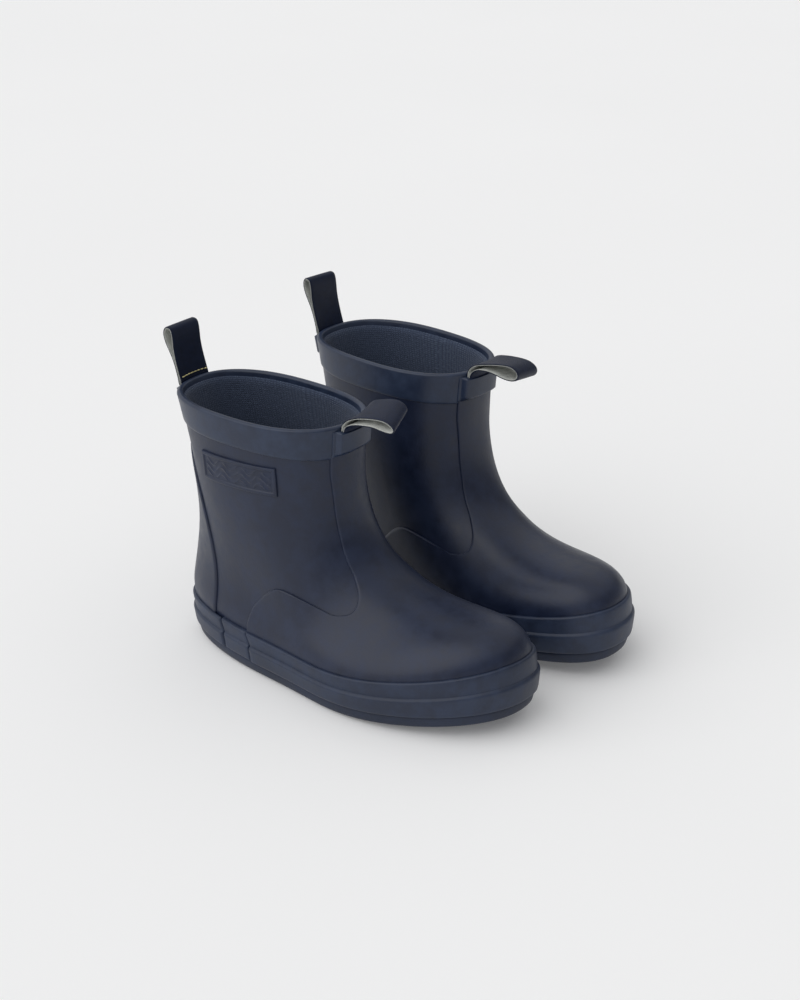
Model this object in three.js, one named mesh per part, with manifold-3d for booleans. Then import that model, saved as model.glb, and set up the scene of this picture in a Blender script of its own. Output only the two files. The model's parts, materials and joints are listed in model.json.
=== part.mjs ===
// A pair of child-size rubber deck boots: ankle-high shafts, a toe-to-shaft vamp overlay,
// two-tier rubber foxing, grooved outsoles, knit linings and a fold-over pull loop at each
// end of the rim.
//
// Each boot is modelled in its own frame: x runs from heel to toe, y towards the other
// boot, z up from the ground. The pair stands side by side with the toes towards -Y.
import * as THREE from 'three';
import { mergeVertices } from 'three/addons/utils/BufferGeometryUtils.js';
import Module from 'manifold-3d';

const wasm = await Module();
wasm.setup();

// ---- driving dimensions, in millimetres ----
const bootLength = 175; // shell length at the sole line, heel to toe
const rimHeight = 118; // ground to the front of the rim
const soleWidth = 67; // widest part of the shell at the sole line
const toeSpring = 7.5; // rise of the toe off the ground
const springStart = 98; // distance from the heel at which the toe starts to rise
const toeInswing = 7; // how far the tip of the toe leans towards the other boot

const clearance = 0.3; // gap between touching layers
const outsoleThickness = 5.5;
const midsoleThickness = 2.8;
const boardThickness = 1.2;
const footbedThickness = 4.2;

const shellThickness = 1.6;
const liningThickness = 1.2;
const overlayThickness = 1;
const bandThickness = 1.2;

const foxingHeelHeight = 19.3; // ground to the top of the foxing at the heel
const foxingToeRise = 5.2; // extra height of the foxing at the toe
const frontFoxingAngle = 110.5; // half angle covered by the front foxing
const heelFoxingAngle = 124.5; // half angle at which the heel foxing starts

const strapWidth = 17;
const strapThickness = 1.2;
const loopDepth = 6.8; // thickness of a loop across its round end
const frontLoopLength = 24.5;
const rearLoopLength = 26.5;
const frontLoopTilt = 10; // degrees above level
const rearLoopLean = 12; // degrees back from upright

const badgeLength = 41;
const badgeHeight = 12.8;
const badgeFrame = 1.3;

const bootGap = 15; // added to the sole width, between the two boots' middles
const bootSpacing = soleWidth + bootGap;
const leftBootLead = 5; // how far the left boot stands in front of the right
const leftBootTurn = 3.5; // degrees that the left boot's toe turns in
const turnCentre = 95; // from the left boot's heel to the point it turns about

// ---- colours ----
const rubberNavy = 0x46506a;
const rubberDark = 0x39435c;
const soleNavy = 0x3f4962;
const knitNavy = 0x2e3644;
const strapNavy = 0x1f2638;
const boardGrey = 0x8d8a82;
const feltGrey = 0x4a4f59;

// ---- the boot's surface ----
// Stations run from the rim down to the sole line, at the nominal size. back and front are
// the ends of the section, outer and inner its half widths, zBack, zSide and zFront its
// height at the heel, the sides and the toe, corner the squareness of its outline, and
// foot how far it has taken the foot's plan shape.
const nominal = { length: 175, height: 118, width: 67 };
const soleLine = outsoleThickness + clearance;
const makeStation = (back, front, outer, inner, zBack, zSide, zFront, corner, foot) => (
  { back, front, outer, inner, zBack, zSide, zFront, corner, foot }
);
const stations = [
  makeStation(1.2, 91, 28.5, 25.5, 116.5, 117.4, 118, 2.4, 0),
  makeStation(5.6, 89.3, 27.2, 26.8, 100.6, 99.9, 98, 2.4, 0),
  makeStation(8.7, 90.6, 26.8, 27.5, 84, 82, 77.7, 2.3, 0),
  makeStation(9.3, 98.7, 26.6, 27.7, 66.2, 61.8, 58, 2.2, 0.2),
  makeStation(6.3, 118, 26.4, 28.2, 49, 42.4, 44.4, 2.2, 0.5),
  makeStation(3.4, 142, 29.8, 29.6, 35, 30.5, 40.4, 2.2, 0.8),
  makeStation(2, 162, 35.5, 31, 24.8, 24, 39.6, 2.3, 1),
  makeStation(3, 173.5, 37, 31.8, 18.5, 18.5, 33, 2.3, 1),
  makeStation(5, 176, 36, 31.3, 12.5, 13, 20, 2.3, 1),
  makeStation(5.5, 175, 35.5, 31, soleLine, soleLine, soleLine, 2.3, 1),
].map(scaleStation);

function scaleStation(station) {
  const along = bootLength / nominal.length;
  const across = soleWidth / nominal.width;
  const up = (rimHeight - soleLine) / (nominal.height - soleLine);
  const height = (z) => soleLine + (z - soleLine) * up;
  return {
    ...station,
    back: station.back * along,
    front: station.front * along,
    outer: station.outer * across,
    inner: station.inner * across,
    zBack: height(station.zBack),
    zSide: height(station.zSide),
    zFront: height(station.zFront),
  };
}

// rise of the toe at distance x from the heel, fading out up the foot
function lift(x, z) {
  const along = THREE.MathUtils.clamp((x - springStart) / 75, 0, 1.2) ** 1.6;
  const fade = THREE.MathUtils.clamp(1 - (z - 12) / 70, 0, 1);
  return toeSpring * along * fade;
}

// point of one station's plan outline at an angle, 0 at the toe and 90 towards the other boot
function planPoint(station, angle) {
  const exponent = 2 / station.corner;
  const cosine = Math.cos(angle);
  const sine = Math.sin(angle);
  const along = (1 + Math.sign(cosine) * Math.abs(cosine) ** exponent) / 2;
  const across = Math.sign(sine) * Math.abs(sine) ** exponent;
  const towardsOther = sine > 0;
  const heelWidth = towardsOther ? 0.82 : 0.78;
  const widening = Math.sin(Math.min(along / 0.74, 1) * Math.PI / 2) ** 2;
  const waist = (towardsOther ? 0.07 : 0.09) * Math.exp(-(((along - 0.42) / 0.18) ** 2));
  const taper = (heelWidth + (1 - heelWidth) * widening) * (1 - waist);
  const inswing = toeInswing * Math.max((along - 0.45) / 0.55, 0) ** 2;
  const halfWidth = towardsOther ? station.inner : station.outer;
  const x = station.back + (station.front - station.back) * along;
  const y = halfWidth * across * (1 - station.foot + station.foot * taper) + station.foot * inswing;
  return new THREE.Vector2(x, y);
}

// blend of the four stations around a depth, as a uniform cubic B-spline
function stationAt(depth) {
  const last = stations.length - 1;
  const place = Math.min(depth * last, last - 1e-9);
  const first = Math.floor(place);
  const u = place - first;
  const weights = [(1 - u) ** 3, 3 * u ** 3 - 6 * u ** 2 + 4, -3 * u ** 3 + 3 * u ** 2 + 3 * u + 1, u ** 3];
  const pick = (index, key) => {
    if (index < 0) return 2 * stations[0][key] - stations[1][key];
    if (index > last) return 2 * stations[last][key] - stations[last - 1][key];
    return stations[index][key];
  };
  const blended = {};
  for (const key of Object.keys(stations[0])) {
    blended[key] = weights.reduce((sum, weight, k) => sum + weight * pick(first - 1 + k, key), 0) / 6;
  }
  return blended;
}

// point of the shell's outer surface; depth runs from 0 at the rim to 1 at the sole line
function surfacePoint(angle, depth) {
  const station = stationAt(depth);
  const plan = planPoint(station, angle);
  const end = Math.cos(angle) > 0 ? station.zFront : station.zBack;
  const z = station.zSide + (end - station.zSide) * Math.cos(angle) ** 2;
  return new THREE.Vector3(plan.x, plan.y, z + lift(plan.x, z));
}

function surfaceNormal(angle, depth) {
  const step = 0.01;
  const around = surfacePoint(angle + step, depth).sub(surfacePoint(angle - step, depth));
  const lower = surfacePoint(angle, Math.min(depth + step, 1));
  const down = lower.sub(surfacePoint(angle, Math.max(depth - step, 0)));
  return down.cross(around).normalize();
}

function foxingTop(x) {
  const rise = THREE.MathUtils.clamp((x / bootLength) * 2.13 - 1.1, 0, 1) ** 2;
  return foxingHeelHeight + foxingToeRise * rise + lift(x, 0);
}

// depth at which the surface meets the top of the foxing
function foxingDepth(angle) {
  let above = 0.3;
  let below = 1;
  for (let step = 0; step < 30; step += 1) {
    const middle = (above + below) / 2;
    const point = surfacePoint(angle, middle);
    if (point.z > foxingTop(point.x)) above = middle;
    else below = middle;
  }
  return above;
}

// ---- the grid that every layer shares, so that their facets stay parallel ----
const halfAngles = [0, 12, 26, 42, 59, 76, 93, frontFoxingAngle, heelFoxingAngle, 140, 156, 169, 180];
const angles = [...halfAngles, ...halfAngles.slice(1, -1).reverse().map((angle) => 360 - angle)];
const bandDepths = [0, 0.035, 0.075];
const bandLevel = bandDepths.length - 1;
const wallSteps = 6;
const foxingSteps = [0.12, 0.46, 0.54, 1];
const foxingLevel = bandLevel + wallSteps;
const soleLevel = foxingLevel + foxingSteps.length;

function depthsAt(angle) {
  const top = foxingDepth(angle);
  const bandEnd = bandDepths[bandLevel];
  const step = (top - bandEnd) / wallSteps;
  const wall = Array.from({ length: wallSteps }, (_, k) => bandEnd + step * (k + 1));
  return [...bandDepths, ...wall, ...foxingSteps.map((share) => top + (1 - top) * share)];
}

const columns = angles.map((degrees) => {
  const angle = THREE.MathUtils.degToRad(degrees);
  return depthsAt(angle).map((depth) => ({
    point: surfacePoint(angle, depth),
    normal: surfaceNormal(angle, depth),
  }));
});

function gridPoint(column, level, offset) {
  const { point, normal } = columns[(column + columns.length) % columns.length][level];
  return point.clone().addScaledVector(normal, offset);
}

// point at any angle and level, straight between the grid's own points
function skin(degrees, level, offset) {
  const turn = ((degrees % 360) + 360) % 360;
  const next = angles.findIndex((angle) => angle > turn + 1e-9);
  const right = next === -1 ? angles.length : next;
  const left = right - 1;
  const end = next === -1 ? 360 : angles[right];
  const share = (turn - angles[left]) / (end - angles[left]);
  const top = Math.min(Math.floor(level), soleLevel - 1);
  const down = level - top;
  const upper = gridPoint(left, top, offset).lerp(gridPoint(right, top, offset), share);
  const lower = gridPoint(left, top + 1, offset).lerp(gridPoint(right, top + 1, offset), share);
  return upper.lerp(lower, down);
}

// ---- mesh helpers ----
function geometryFrom(points, triangles) {
  const geometry = new THREE.BufferGeometry();
  const numbers = points.flatMap((p) => [p.x, p.y, p.z]);
  geometry.setAttribute('position', new THREE.Float32BufferAttribute(numbers, 3));
  geometry.setIndex(triangles);
  return geometry;
}

function quad(triangles, a, b, c, d) {
  triangles.push(a, b, c, a, c, d);
}

// closed solid through a row of sections, each with as many outer as inner points; the
// sections close into a ring, or end in flat caps
function sleeve(outer, inner, ring) {
  const rows = outer.length;
  const count = outer[0].length;
  const points = [...outer.flat(), ...inner.flat()];
  const out = (i, j) => (i % rows) * count + j;
  const back = (i, j) => rows * count + (i % rows) * count + j;
  const triangles = [];
  for (let i = 0; i < (ring ? rows : rows - 1); i += 1) {
    for (let j = 0; j < count - 1; j += 1) {
      quad(triangles, out(i, j), out(i, j + 1), out(i + 1, j + 1), out(i + 1, j));
      quad(triangles, back(i, j), back(i + 1, j), back(i + 1, j + 1), back(i, j + 1));
    }
    quad(triangles, out(i, 0), out(i + 1, 0), back(i + 1, 0), back(i, 0));
    const last = count - 1;
    quad(triangles, out(i, last), back(i, last), back(i + 1, last), out(i + 1, last));
  }
  if (!ring) {
    for (let j = 0; j < count - 1; j += 1) {
      quad(triangles, out(0, j), back(0, j), back(0, j + 1), out(0, j + 1));
      quad(triangles, out(rows - 1, j), out(rows - 1, j + 1), back(rows - 1, j + 1), back(rows - 1, j));
    }
  }
  return geometryFrom(points, triangles);
}

// slab through stacked rings that run around the sole, flat-capped from side to side
function slab(rings) {
  const count = rings[0].length;
  const at = (layer, i) => layer * count + ((i + count) % count);
  const triangles = [];
  for (let layer = 0; layer < rings.length - 1; layer += 1) {
    for (let i = 0; i < count; i += 1) {
      quad(triangles, at(layer, i), at(layer, i + 1), at(layer + 1, i + 1), at(layer + 1, i));
    }
  }
  const top = rings.length - 1;
  for (let i = 0; i < count / 2; i += 1) {
    const bottom = [at(0, i), at(0, -i), at(0, -i - 1), at(0, i + 1)];
    const upper = [at(top, i), at(top, i + 1), at(top, -i - 1), at(top, -i)];
    for (const [a, b, c, d] of [bottom, upper]) {
      if (a !== b) triangles.push(a, b, c);
      if (c !== d) triangles.push(a, c, d);
    }
  }
  return geometryFrom(rings.flat(), triangles);
}

function toManifold(geometry) {
  const bare = geometry.clone();
  bare.deleteAttribute('normal');
  bare.deleteAttribute('uv');
  const merged = mergeVertices(bare, 1e-4);
  const vertProperties = new Float32Array(merged.attributes.position.array);
  const triVerts = new Uint32Array(merged.index.array);
  return new wasm.Manifold(new wasm.Mesh({ numProp: 3, vertProperties, triVerts }));
}

function fromManifold(solid) {
  const mesh = solid.getMesh();
  const geometry = new THREE.BufferGeometry();
  geometry.setAttribute('position', new THREE.BufferAttribute(new Float32Array(mesh.vertProperties), 3));
  geometry.setIndex(new THREE.BufferAttribute(new Uint32Array(mesh.triVerts), 1));
  return geometry;
}

// prism across the boot over an outline drawn in side view
function sideCutter(outline) {
  const shape = new THREE.Shape(outline.map(([x, z]) => new THREE.Vector2(x, z)));
  const geometry = new THREE.ExtrudeGeometry(shape, { depth: 200, bevelEnabled: false });
  geometry.translate(0, 0, -100);
  geometry.rotateX(Math.PI / 2);
  return toManifold(geometry);
}

// ---- layers of the upper ----
const wallLevels = Array.from({ length: soleLevel + 1 }, (_, level) => level);

// cut off the foot of a layer at a height above the ground line
function raised(point, floor) {
  point.z = Math.max(point.z, floor + lift(point.x, floor));
  return point;
}

function fullLayer(outerOffset, innerOffset, topLevel, floor) {
  const levels = [topLevel, ...wallLevels.slice(1)];
  const point = (angle, level, offset) => raised(skin(angle, level, offset), floor);
  const side = (offset) => angles.map((angle) => levels.map((level) => point(angle, level, offset)));
  return sleeve(side(outerOffset), side(innerOffset), true);
}

function patchLayer(from, to, levels, outerOffset, innerOffset) {
  const inside = [...angles, ...angles.map((angle) => angle - 360)].filter((a) => a > from && a < to);
  const turns = [from, ...inside.sort((a, b) => a - b), to];
  const at = (angle, level, offset) => raised(skin(angle, level, offset(angle, level)), soleLine);
  const side = (offset) => turns.map((angle) => levels.map((level) => at(angle, level, offset)));
  return sleeve(side(outerOffset), side(innerOffset), false);
}

function shellGeometry() {
  return fullLayer(0, -shellThickness, 0, 0);
}

function liningGeometry() {
  const outer = -shellThickness - clearance;
  const floor = soleLine + midsoleThickness + clearance;
  return fullLayer(outer, outer - liningThickness, 0.3, floor);
}

function bandGeometry() {
  const levels = wallLevels.slice(0, bandLevel + 1);
  const side = (offset) => angles.map((angle) => levels.map((level) => skin(angle, level, offset)));
  return sleeve(side(clearance + bandThickness), side(clearance), true);
}

const overlayLevels = [bandLevel + 0.08, ...wallLevels.slice(bandLevel + 1)];
const overlayOuter = clearance + overlayThickness;

// outline of the vamp in side view: the tongue's edge, the round lobe and the wing's crest
const vampOutline = [
  [88, 110], [87.6, 95], [89.3, 79], [92.4, 67.7], [96, 60], [101, 53], [104.5, 48], [106, 44],
  [105, 41.3], [102, 40], [97, 39.6], [91, 41], [84, 42.6], [76, 44], [69.5, 44], [64, 41],
  [59, 36], [55, 31], [53, 24], [53, 0], [190, 0], [190, 110],
];

// outline of the heel counter in side view
const counterOutline = [
  [-10, 92], [11, 92], [15.5, 84], [20.5, 74], [24, 64], [26.5, 54], [28.3, 44], [29.5, 34],
  [30.5, 26], [30.5, 0], [-10, 0],
];

function overlayGeometry(from, to, outline) {
  const sheet = patchLayer(from, to, overlayLevels, () => overlayOuter, () => clearance);
  return fromManifold(toManifold(sheet).intersect(sideCutter(fitOutline(outline))));
}

function fitOutline(outline) {
  const along = bootLength / nominal.length;
  const up = (rimHeight - soleLine) / (nominal.height - soleLine);
  return outline.map(([x, z]) => [x * along, soleLine + (z - soleLine) * up]);
}

// ---- foxing: a strip around the foot of the upper, with a raised lower tier ----
const foxingLevels = wallLevels.slice(foxingLevel);

function foxingGeometry(from, to, inner, top, upper, lower) {
  const profile = [top, upper, upper, lower, lower];
  const outerOffset = (_, level) => profile[level - foxingLevel];
  return patchLayer(from, to, foxingLevels, outerOffset, () => inner);
}

// ---- sole ----
function soleRing(offset, z) {
  return angles.map((_, column) => {
    const point = gridPoint(column, soleLevel, offset);
    return new THREE.Vector3(point.x, point.y, z + lift(point.x, 0));
  });
}

const grooveDepth = 2;
const grooveWidth = 2.4;
const groovePitch = 7;
const treadBorder = 4.5;

function soleHalfWidths(x) {
  const ring = soleRing(0, 0);
  const half = ring.length / 2;
  for (let i = 0; i < half; i += 1) {
    if (ring[i].x >= x && ring[i + 1].x < x) {
      const share = (ring[i].x - x) / (ring[i].x - ring[i + 1].x);
      const mirror = (k) => ring[(ring.length - k) % ring.length].y;
      const inner = THREE.MathUtils.lerp(ring[i].y, ring[i + 1].y, share);
      const outer = THREE.MathUtils.lerp(mirror(i), mirror(i + 1), share);
      return { inner, outer };
    }
  }
  return { inner: 0, outer: 0 };
}

function groove(x) {
  const { inner, outer } = soleHalfWidths(x);
  const length = inner - outer - 2 * treadBorder;
  const slope = (lift(x + 1, 0) - lift(x - 1, 0)) / 2;
  const geometry = new THREE.BoxGeometry(grooveWidth, length, 2 * grooveDepth);
  geometry.rotateY(-Math.atan(slope));
  geometry.translate(x, (inner + outer) / 2, lift(x, 0));
  return toManifold(geometry);
}

function outsoleGeometry() {
  const rings = [soleRing(-0.4, 0), soleRing(1.6, 1.6), soleRing(2.3, outsoleThickness)];
  let solid = toManifold(slab(rings));
  const treads = [[18, 6], [84, 11]];
  for (const [start, count] of treads) {
    for (let k = 0; k < count; k += 1) {
      solid = solid.subtract(groove((start + k * groovePitch) * (bootLength / nominal.length)));
    }
  }
  return fromManifold(solid);
}

function innerSlab(offset, bottom, thickness) {
  return slab([soleRing(offset, bottom), soleRing(offset, bottom + thickness)]);
}

// ---- pull loops ----
// side outline of a loop: a teardrop band that grows along +x from the round root at the
// origin, where it turns
function loopGeometry(length) {
  const rootRadius = strapThickness + 0.2;
  const endRadius = loopDepth / 2;
  const centre = length - endRadius;
  const shape = new THREE.Shape();
  shape.absarc(0, 0, rootRadius, Math.PI / 2, Math.PI * 1.5, false);
  shape.quadraticCurveTo(centre * 0.55, -rootRadius, centre, -endRadius);
  shape.absarc(centre, 0, endRadius, -Math.PI / 2, Math.PI / 2, false);
  shape.quadraticCurveTo(centre * 0.55, rootRadius, 0, rootRadius);
  const hole = new THREE.Path();
  const holeStart = centre * 0.3;
  const inside = endRadius - strapThickness;
  hole.moveTo(holeStart, 0);
  hole.quadraticCurveTo(centre * 0.6, inside * 0.45, centre, inside);
  hole.absarc(centre, 0, inside, Math.PI / 2, -Math.PI / 2, true);
  hole.quadraticCurveTo(centre * 0.6, -inside * 0.45, holeStart, 0);
  shape.holes.push(hole);
  const options = { depth: strapWidth, bevelEnabled: false, curveSegments: 7 };
  const geometry = new THREE.ExtrudeGeometry(shape, options);
  geometry.translate(0, 0, -strapWidth / 2);
  geometry.rotateX(Math.PI / 2);
  return geometry;
}

const tailInner = clearance + bandThickness + clearance;
const tailThickness = 1.6;
const loopRise = 1.5; // root of a loop above the rim

function tailHalfAngle(towards) {
  let angle = 1;
  while (Math.abs(skin(towards + angle, 0, tailInner).y) < strapWidth / 2) angle += 0.1;
  return angle;
}

function tailGeometry(towards) {
  const half = tailHalfAngle(towards);
  const levels = [0.08, 1, 1.8];
  const outer = () => tailInner + tailThickness;
  return patchLayer(towards - half, towards + half, levels, outer, () => tailInner);
}

// rubber patch over the tail, stepping down to the band beside it
function loopPatchGeometry(towards) {
  const half = tailHalfAngle(towards);
  const step = 0.35;
  const edge = 2;
  const over = tailInner + tailThickness + clearance;
  const turns = [-half - edge, -half - 2 * step, -half - step, half + step, half + 2 * step, half + edge];
  const grid = angles.map((angle) => (angle > 180 + towards / 2 ? angle - 360 : angle) - towards);
  const middle = grid.filter((angle) => Math.abs(angle) < half);
  const all = [...turns, ...middle].sort((a, b) => a - b);
  const covers = (turn) => Math.abs(turn) < half + 1.5 * step;
  const levels = [0.6, 1, 1.85];
  const column = (turn, offset) => levels.map((level) => skin(towards + turn, level, offset));
  const outer = all.map((turn) => column(turn, covers(turn) ? over + 0.9 : tailInner + 1));
  const inner = all.map((turn) => column(turn, covers(turn) ? over : tailInner));
  return sleeve(outer, inner, false);
}

// ---- side badge: a raised frame around a row of plain waves ----
function badgeGeometry() {
  const from = [28.5, 91.8];
  const tilt = THREE.MathUtils.degToRad(2.5);
  const plate = new THREE.Shape();
  plate.moveTo(0, -badgeHeight / 2);
  plate.lineTo(badgeLength, -badgeHeight / 2);
  plate.lineTo(badgeLength, badgeHeight / 2);
  plate.lineTo(0, badgeHeight / 2);
  plate.closePath();
  const geometry = new THREE.ExtrudeGeometry(plate, { depth: 200, bevelEnabled: false });
  geometry.rotateX(Math.PI / 2);
  geometry.rotateY(-tilt);
  const [x, z] = fitOutline([from])[0];
  geometry.translate(x, 0, z);
  const levels = wallLevels.slice(bandLevel, foxingLevel - 1);
  const around = patchLayer(225, 315, levels, () => clearance + 1.1, () => clearance);
  const recess = patchLayer(225, 315, levels, () => clearance + 2, () => clearance + 0.6);
  const inside = new THREE.BoxGeometry(badgeLength - 2 * badgeFrame, 200, badgeHeight - 2 * badgeFrame);
  inside.translate(badgeLength / 2, -100, 0);
  inside.rotateY(-tilt);
  inside.translate(x, 0, z);
  const raisedPlate = toManifold(around).intersect(toManifold(geometry));
  return fromManifold(raisedPlate.subtract(toManifold(recess).intersect(toManifold(inside))));
}

// ---- one boot ----
function addPart(group, name, geometry, color, roughness) {
  const material = new THREE.MeshStandardMaterial({ color, roughness, metalness: 0 });
  const mesh = new THREE.Mesh(geometry, material);
  mesh.name = name;
  group.add(mesh);
  return mesh;
}

function addLoop(boot, name, towards, length, degrees) {
  const root = skin(towards, 0, tailInner + tailThickness / 2);
  const mesh = addPart(boot, name, loopGeometry(length), strapNavy, 0.45);
  mesh.position.set(root.x, root.y, root.z + loopRise);
  mesh.rotation.y = -THREE.MathUtils.degToRad(degrees);
}

function buildBoot(side) {
  const boot = new THREE.Group();
  const insideShell = -shellThickness - clearance;
  const insideLining = insideShell - liningThickness - clearance;
  const boardFloor = soleLine + midsoleThickness + clearance;
  const footbedFloor = boardFloor + boardThickness + clearance;
  const seam = 0.15;
  const overOverlay = overlayOuter + clearance;

  addPart(boot, `${side}_outsole`, outsoleGeometry(), soleNavy, 0.65);
  addPart(boot, `${side}_midsole`, innerSlab(insideShell, soleLine, midsoleThickness), soleNavy, 0.8);
  const board = innerSlab(insideLining, boardFloor, boardThickness);
  const footbed = innerSlab(insideLining - 0.3, footbedFloor, footbedThickness);
  addPart(boot, `${side}_insole_board`, board, boardGrey, 0.9);
  addPart(boot, `${side}_footbed`, footbed, feltGrey, 0.95);
  addPart(boot, `${side}_lining`, liningGeometry(), knitNavy, 0.95);
  addPart(boot, `${side}_upper_shell`, shellGeometry(), rubberNavy, 0.5);
  addPart(boot, `${side}_collar_band`, bandGeometry(), rubberNavy, 0.5);
  const vamp = overlayGeometry(-frontFoxingAngle + 1, frontFoxingAngle - 1, vampOutline);
  addPart(boot, `${side}_vamp_overlay`, vamp, rubberNavy, 0.5);
  const counter = overlayGeometry(heelFoxingAngle + 1, 359 - heelFoxingAngle, counterOutline);
  addPart(boot, `${side}_heel_counter`, counter, rubberNavy, 0.5);

  const front = frontFoxingAngle - seam;
  const waistFrom = frontFoxingAngle + seam;
  const waistTo = heelFoxingAngle - seam;
  const heel = heelFoxingAngle + seam;
  const toeStrip = foxingGeometry(-front, front, overOverlay, 2.5, 2.9, 3.9);
  const innerStrip = foxingGeometry(waistFrom, waistTo, clearance, 1.3, 1.6, 2.4);
  const outerStrip = foxingGeometry(-waistTo, -waistFrom, clearance, 1.3, 1.6, 2.4);
  const heelStrip = foxingGeometry(heel, 360 - heel, overOverlay, 2.5, 2.9, 3.7);
  addPart(boot, `${side}_front_foxing`, toeStrip, rubberDark, 0.55);
  addPart(boot, `${side}_inner_waist_foxing`, innerStrip, rubberDark, 0.55);
  addPart(boot, `${side}_outer_waist_foxing`, outerStrip, rubberDark, 0.55);
  addPart(boot, `${side}_heel_foxing`, heelStrip, rubberDark, 0.55);

  addPart(boot, `${side}_front_loop_tail`, tailGeometry(0), strapNavy, 0.45);
  addPart(boot, `${side}_rear_loop_tail`, tailGeometry(180), strapNavy, 0.45);
  addPart(boot, `${side}_front_loop_patch`, loopPatchGeometry(0), rubberNavy, 0.5);
  addPart(boot, `${side}_rear_loop_patch`, loopPatchGeometry(180), rubberNavy, 0.5);
  addPart(boot, `${side}_badge`, badgeGeometry(), rubberNavy, 0.5);
  addLoop(boot, `${side}_front_loop`, 0, frontLoopLength, frontLoopTilt);
  addLoop(boot, `${side}_rear_loop`, 180, rearLoopLength, 90 + rearLoopLean);
  return boot;
}

// ---- the pair ----
const rightBoot = buildBoot('right');
rightBoot.rotation.z = -Math.PI / 2;
rightBoot.position.x = -bootSpacing / 2;

const leftFrame = new THREE.Group();
const leftBoot = buildBoot('left');
const turn = THREE.MathUtils.degToRad(leftBootTurn);
leftBoot.rotation.z = turn - Math.PI / 2;
leftBoot.position.set(-turnCentre * Math.sin(turn), -turnCentre * (1 - Math.cos(turn)), 0);
leftFrame.add(leftBoot);
leftFrame.scale.x = -1;
leftFrame.position.set(bootSpacing / 2, -leftBootLead, 0);

const pair = new THREE.Group();
pair.add(rightBoot, leftFrame);
pair.updateMatrixWorld(true);

// stand the pair centred over the origin
const extent = new THREE.Box3().setFromObject(pair, true);
const centre = extent.getCenter(new THREE.Vector3());
pair.position.set(-centre.x, -centre.y, -extent.min.z);

export default pair;
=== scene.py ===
"""A pair of child-size rubber deck boots: moulded navy rubber uppers with a wrapped vamp, a heel
counter and a rolled collar, two-tier foxing, grooved soles, knit linings and webbing pull loops.

Each boot is worked out in its own frame in millimetres: x from heel to toe, y towards the other
boot, z up. place() then puts it in the pair's frame."""
import json
import math

import bmesh
import bpy
import numpy as np
from mathutils import Matrix, Vector


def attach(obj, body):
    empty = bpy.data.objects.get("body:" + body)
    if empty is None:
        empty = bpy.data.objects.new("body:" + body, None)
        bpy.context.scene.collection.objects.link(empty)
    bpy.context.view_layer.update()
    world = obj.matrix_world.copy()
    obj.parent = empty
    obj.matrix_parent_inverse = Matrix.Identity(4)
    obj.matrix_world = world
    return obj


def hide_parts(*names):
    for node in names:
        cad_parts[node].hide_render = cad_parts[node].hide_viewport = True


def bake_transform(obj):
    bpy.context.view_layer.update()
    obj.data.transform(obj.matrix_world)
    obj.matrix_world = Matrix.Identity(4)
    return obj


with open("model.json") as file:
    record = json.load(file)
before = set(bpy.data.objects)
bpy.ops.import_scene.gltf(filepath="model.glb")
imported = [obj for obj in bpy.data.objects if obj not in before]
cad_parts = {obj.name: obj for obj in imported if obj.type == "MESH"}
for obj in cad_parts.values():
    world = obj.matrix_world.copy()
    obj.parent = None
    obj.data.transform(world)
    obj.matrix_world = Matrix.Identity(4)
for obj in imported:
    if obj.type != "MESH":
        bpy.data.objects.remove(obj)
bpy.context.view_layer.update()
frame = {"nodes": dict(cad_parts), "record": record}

# ---- sizes, in millimetres ----
SOLE_LINE = 5.8  # ground to the foot of the upper
TOE_SPRING = 7.5
SPRING_START = 98
TOE_INSWING = 7
SHELL_THICKNESS = 1.6
LINING_OFFSETS = (-1.72, -3.1)
OVERLAY_RISE = 0.95  # vamp and counter above the shell
EDGE_ROUND = 1.0  # width over which an overlay's edge rounds down
REAR_HINGE = -1.3056  # along the boot
STRAP_WIDTH = 17
STRAP_OUTER = 0.5
STRAP_INNER = 0.32
STRAP_GRIP, STRAP_FREE = -1.6, 5  # from the hinge: where a strap is held, and where it swings
FRONT_FOXING = 110.5  # half angles, in degrees
HEEL_FOXING = 124.5

# stations from the rim to the sole line: back, front, outer and inner half widths, height at
# the back, sides and front, squareness of the outline, share of the foot's plan shape
STATIONS = np.array([
    [1.2, 91, 28.5, 25.5, 116.5, 117.4, 118, 2.4, 0],
    [5.6, 89.3, 27.2, 26.8, 100.6, 99.9, 98, 2.4, 0],
    [8.7, 90.6, 26.8, 27.5, 84, 82, 77.7, 2.3, 0],
    [9.3, 98.7, 26.6, 27.7, 66.2, 61.8, 58, 2.2, 0.2],
    [6.3, 118, 26.4, 28.2, 49, 42.4, 44.4, 2.2, 0.5],
    [3.4, 142, 29.8, 29.6, 35, 30.5, 40.4, 2.2, 0.8],
    [2, 162, 35.5, 31, 24.8, 24, 39.6, 2.3, 1],
    [3, 173.5, 37, 31.8, 18.5, 18.5, 33, 2.3, 1],
    [5, 176, 36, 31.3, 12.5, 13, 20, 2.3, 1],
    [5.5, 175, 35.5, 31, 5.8, 5.8, 5.8, 2.3, 1],
])

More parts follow.
